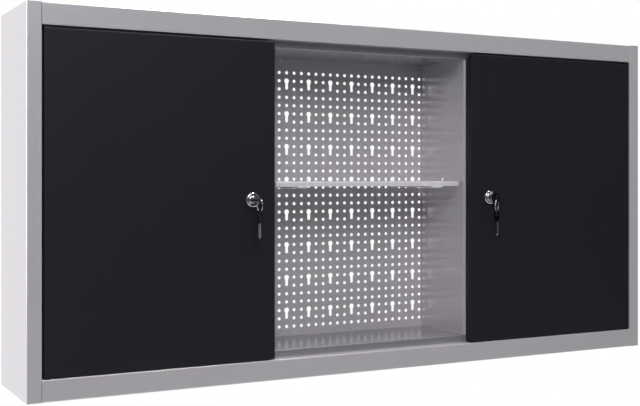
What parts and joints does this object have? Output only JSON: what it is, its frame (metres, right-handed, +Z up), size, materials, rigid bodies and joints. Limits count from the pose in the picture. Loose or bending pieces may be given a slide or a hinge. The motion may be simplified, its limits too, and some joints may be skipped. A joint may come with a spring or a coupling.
{
  "type": "metal wall cabinet",
  "caption": "Sheet steel wall cabinet with a lockable hinged door at each end and an open middle bay with a perforated back panel and a hook-mounted shelf.",
  "frame": {"origin": "on the wall plane, at the centre of the four wall screw holes, which is the middle of the cabinet's width and height", "axes": "+X to the right along the cabinet's width, +Y into the wall, +Z up"},
  "size_m": [1.2, 0.2301, 0.6],
  "materials": {
    "body_paint": "semi-gloss silver grey powder coat",
    "panel_paint": "semi-gloss silver grey powder coat",
    "door_paint": "fine textured satin black powder coat",
    "zinc_wire": "bright zinc plated wire",
    "zinc_steel": "zinc plated steel",
    "lock_chrome": "polished chrome",
    "key_nickel": "polished nickel plate",
    "key_plastic": "black moulded plastic",
    "bush_nylon": "black nylon"
  },
  "bodies": {
    "cabinet": {"left_side_panel": "body_paint", "right_side_panel": "body_paint", "top_panel": "body_paint", "bottom_panel": "body_paint", "ceiling_plate": "body_paint", "floor_plate": "body_paint", "left_partition": "body_paint", "right_partition": "body_paint", "perforated_back_panel": "panel_paint", "panel_angles": "body_paint", "shelf": "panel_paint", "left_shelf_hook": "zinc_wire", "right_shelf_hook": "zinc_wire", "left_hinge_pins": "zinc_steel", "right_hinge_pins": "zinc_steel"},
    "left_door": {"left_door_panel": "door_paint", "left_door_stiffener": "door_paint", "left_hinge_bushes": "bush_nylon", "left_lock_barrel": "lock_chrome", "left_lock_nut": "zinc_steel"},
    "left_lock": {"left_lock_plug": "lock_chrome", "left_lock_cam": "zinc_steel", "left_cam_screw": "zinc_steel", "left_key_blade": "key_nickel", "left_key_bow": "key_plastic"},
    "left_keys": {"left_key_ring": "key_nickel", "left_spare_key_blade": "key_nickel", "left_spare_key_bow": "key_plastic"},
    "right_door": {"right_door_panel": "door_paint", "right_door_stiffener": "door_paint", "right_hinge_bushes": "bush_nylon", "right_lock_barrel": "lock_chrome", "right_lock_nut": "zinc_steel"},
    "right_lock": {"right_lock_plug": "lock_chrome", "right_lock_cam": "zinc_steel", "right_cam_screw": "zinc_steel", "right_key_blade": "key_nickel", "right_key_bow": "key_plastic"},
    "right_keys": {"right_key_ring": "key_nickel", "right_spare_key_blade": "key_nickel", "right_spare_key_bow": "key_plastic"}
  },
  "joints": [
    {"name": "left_door_hinge", "type": "hinge", "parent": "cabinet", "child": "left_door", "pos_m": [-0.569, -0.184, 0], "axis": [0, 0, -1], "range_deg": [0, 100]},
    {"name": "right_door_hinge", "type": "hinge", "parent": "cabinet", "child": "right_door", "pos_m": [0.569, -0.184, 0], "axis": [0, 0, 1], "range_deg": [0, 100]},
    {"name": "left_lock_turn", "type": "hinge", "parent": "left_door", "child": "left_lock", "pos_m": [-0.237, -0.19, 0], "axis": [0, -1, 0], "range_deg": [0, 90]},
    {"name": "right_lock_turn", "type": "hinge", "parent": "right_door", "child": "right_lock", "pos_m": [0.237, -0.19, 0], "axis": [0, 1, 0], "range_deg": [0, 90]},
    {"name": "left_keys_swing", "type": "hinge", "parent": "left_lock", "child": "left_keys", "pos_m": [-0.237, -0.2186, 0.00252], "axis": [0, 1, 0], "range_deg": [-25, 25]},
    {"name": "right_keys_swing", "type": "hinge", "parent": "right_lock", "child": "right_keys", "pos_m": [0.237, -0.2124, -0.00425], "axis": [0.766, 0.6428, 0], "range_deg": [-45, 12]}
  ]
}
